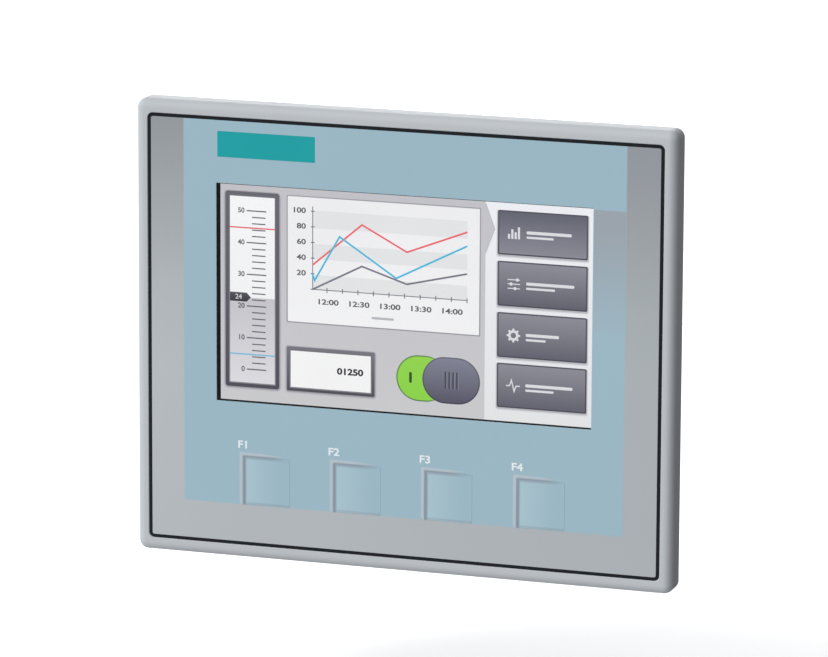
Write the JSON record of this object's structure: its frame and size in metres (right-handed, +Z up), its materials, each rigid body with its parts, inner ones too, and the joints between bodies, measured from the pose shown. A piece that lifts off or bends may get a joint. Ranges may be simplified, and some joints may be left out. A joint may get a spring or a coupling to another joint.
{
  "type": "hmi touch panel",
  "caption": "Flat rectangular touch panel with a landscape display, a row of function keys under it, and a rear housing with ports and clamping screws for a cabinet cut-out.",
  "frame": {"origin": "centre of the cabinet cut-out, in the plane where the seal meets the front of the door", "axes": "+X to the operator's right, +Y from the operator through the door into the cabinet, +Z up"},
  "size_m": [0.141, 0.033, 0.116],
  "materials": {
    "frame_plastic": "fine matt silver-grey",
    "overlay_print": "matt printed film, grey and pale blue",
    "key_print": "matt printed film, pale blue",
    "clear_window": "clear, low-glare film",
    "touch_glass": "clear",
    "adhesive": "translucent adhesive",
    "seal_rubber": "black, matt",
    "display_steel": "black-coated pressed sheet",
    "display_cell": "lit picture of controls, glossy",
    "light_guide": "clear acrylic",
    "lamp_strip": "white lamps on a strip",
    "display_tray": "plain sheet",
    "foam": "closed-cell foam",
    "switch_body": "moulded black",
    "circuit_board": "green solder mask",
    "screw_steel": "zinc plated",
    "clip_screw_steel": "zinc plated",
    "plate_steel": "galvanised sheet",
    "brass_parts": "turned brass",
    "connector_plastic": "cream moulding",
    "ribbon_film": "amber film cable",
    "chip_body": "moulded package",
    "coil_body": "ferrite, grey",
    "capacitor_can": "bright can",
    "capacitor_sleeve": "dark blue sleeve",
    "port_shell": "nickel-plated sheet",
    "port_plastic": "moulded black",
    "port_lights": "clear green and amber light windows",
    "contact_gold": "gold-plated contacts",
    "usb_plastic": "moulded black",
    "plug_plastic": "moulded green",
    "pin_tin": "tinned",
    "cover_plastic": "fine-textured dark grey",
    "label_foil": "blank matt foil",
    "clip_plastic": "glass-filled black"
  },
  "bodies": {
    "housing": {"front_frame": "frame_plastic", "front_overlay": "overlay_print", "window_film": "clear_window", "overlay_bond": "adhesive", "seam_seal": "seal_rubber", "panel_gasket": "seal_rubber", "touch_film": "clear_window", "touch_glass": "touch_glass", "display_frame": "display_steel", "display_panel": "display_cell", "light_guide": "light_guide", "led_bar": "lamp_strip", "display_tray": "display_tray", "display_cushions": "foam", "key_switches": "switch_body", "key_board": "circuit_board", "key_board_screws": "screw_steel", "chassis_plate": "plate_steel", "plate_screws": "screw_steel", "board_spacers": "brass_parts", "main_board": "circuit_board", "board_screws": "screw_steel", "ribbon_connectors": "connector_plastic", "display_ribbon": "ribbon_film", "touch_ribbon": "ribbon_film", "key_ribbon": "ribbon_film", "processor": "chip_body", "memory_chips": "chip_body", "control_chips": "chip_body", "power_coils": "coil_body", "smoothing_capacitors": "capacitor_can", "backup_capacitor": "capacitor_sleeve", "buzzer": "switch_body", "ethernet_shell": "port_shell", "ethernet_insert": "port_plastic", "ethernet_lights": "port_lights", "ethernet_contacts": "contact_gold", "usb_shell": "port_shell", "usb_insert": "usb_plastic", "usb_contacts": "contact_gold", "power_socket": "plug_plastic", "power_pins": "pin_tin", "rear_cover": "cover_plastic", "cover_screws": "screw_steel", "rear_label": "label_foil", "mounting_clips": "clip_plastic"},
    "function_key_1": {"key_1": "key_print"},
    "function_key_2": {"key_2": "key_print"},
    "function_key_3": {"key_3": "key_print"},
    "function_key_4": {"key_4": "key_print"},
    "clamp_screw_1": {"clip_screw_1": "clip_screw_steel"},
    "clamp_screw_2": {"clip_screw_2": "clip_screw_steel"},
    "clamp_screw_3": {"clip_screw_3": "clip_screw_steel"},
    "clamp_screw_4": {"clip_screw_4": "clip_screw_steel"},
    "plug": {"power_plug": "plug_plastic"},
    "wire_screw_1": {"terminal_screw_1": "screw_steel"},
    "wire_screw_2": {"terminal_screw_2": "screw_steel"},
    "wire_screw_3": {"terminal_screw_3": "screw_steel"}
  },
  "joints": [
    {"name": "key_press_1", "type": "slide", "parent": "housing", "child": "function_key_1", "axis": [0, 1, 0], "range_m": [0, 0.0004], "stiffness_N_per_m": 4000, "springref_m": -0.00005},
    {"name": "key_press_2", "type": "slide", "parent": "housing", "child": "function_key_2", "axis": [0, 1, 0], "range_m": [0, 0.0004], "stiffness_N_per_m": 4000, "springref_m": -0.00005},
    {"name": "key_press_3", "type": "slide", "parent": "housing", "child": "function_key_3", "axis": [0, 1, 0], "range_m": [0, 0.0004], "stiffness_N_per_m": 4000, "springref_m": -0.00005},
    {"name": "key_press_4", "type": "slide", "parent": "housing", "child": "function_key_4", "axis": [0, 1, 0], "range_m": [0, 0.0004], "stiffness_N_per_m": 4000, "springref_m": -0.00005},
    {"name": "clamp_travel_1", "type": "slide", "parent": "housing", "child": "clamp_screw_1", "axis": [0, -1, 0], "range_m": [0, 0.0046]},
    {"name": "clamp_travel_2", "type": "slide", "parent": "housing", "child": "clamp_screw_2", "axis": [0, -1, 0], "range_m": [0, 0.0046]},
    {"name": "clamp_travel_3", "type": "slide", "parent": "housing", "child": "clamp_screw_3", "axis": [0, -1, 0], "range_m": [0, 0.0046]},
    {"name": "clamp_travel_4", "type": "slide", "parent": "housing", "child": "clamp_screw_4", "axis": [0, -1, 0], "range_m": [0, 0.0046]},
    {"name": "plug_pull", "type": "slide", "parent": "housing", "child": "plug", "axis": [0, 0, -1], "range_m": [0, 0.01]},
    {"name": "wire_clamp_1", "type": "slide", "parent": "plug", "child": "wire_screw_1", "axis": [0, 1, 0], "range_m": [0, 0.0008]},
    {"name": "wire_clamp_2", "type": "slide", "parent": "plug", "child": "wire_screw_2", "axis": [0, 1, 0], "range_m": [0, 0.0008]},
    {"name": "wire_clamp_3", "type": "slide", "parent": "plug", "child": "wire_screw_3", "axis": [0, 1, 0], "range_m": [0, 0.0008]}
  ]
}
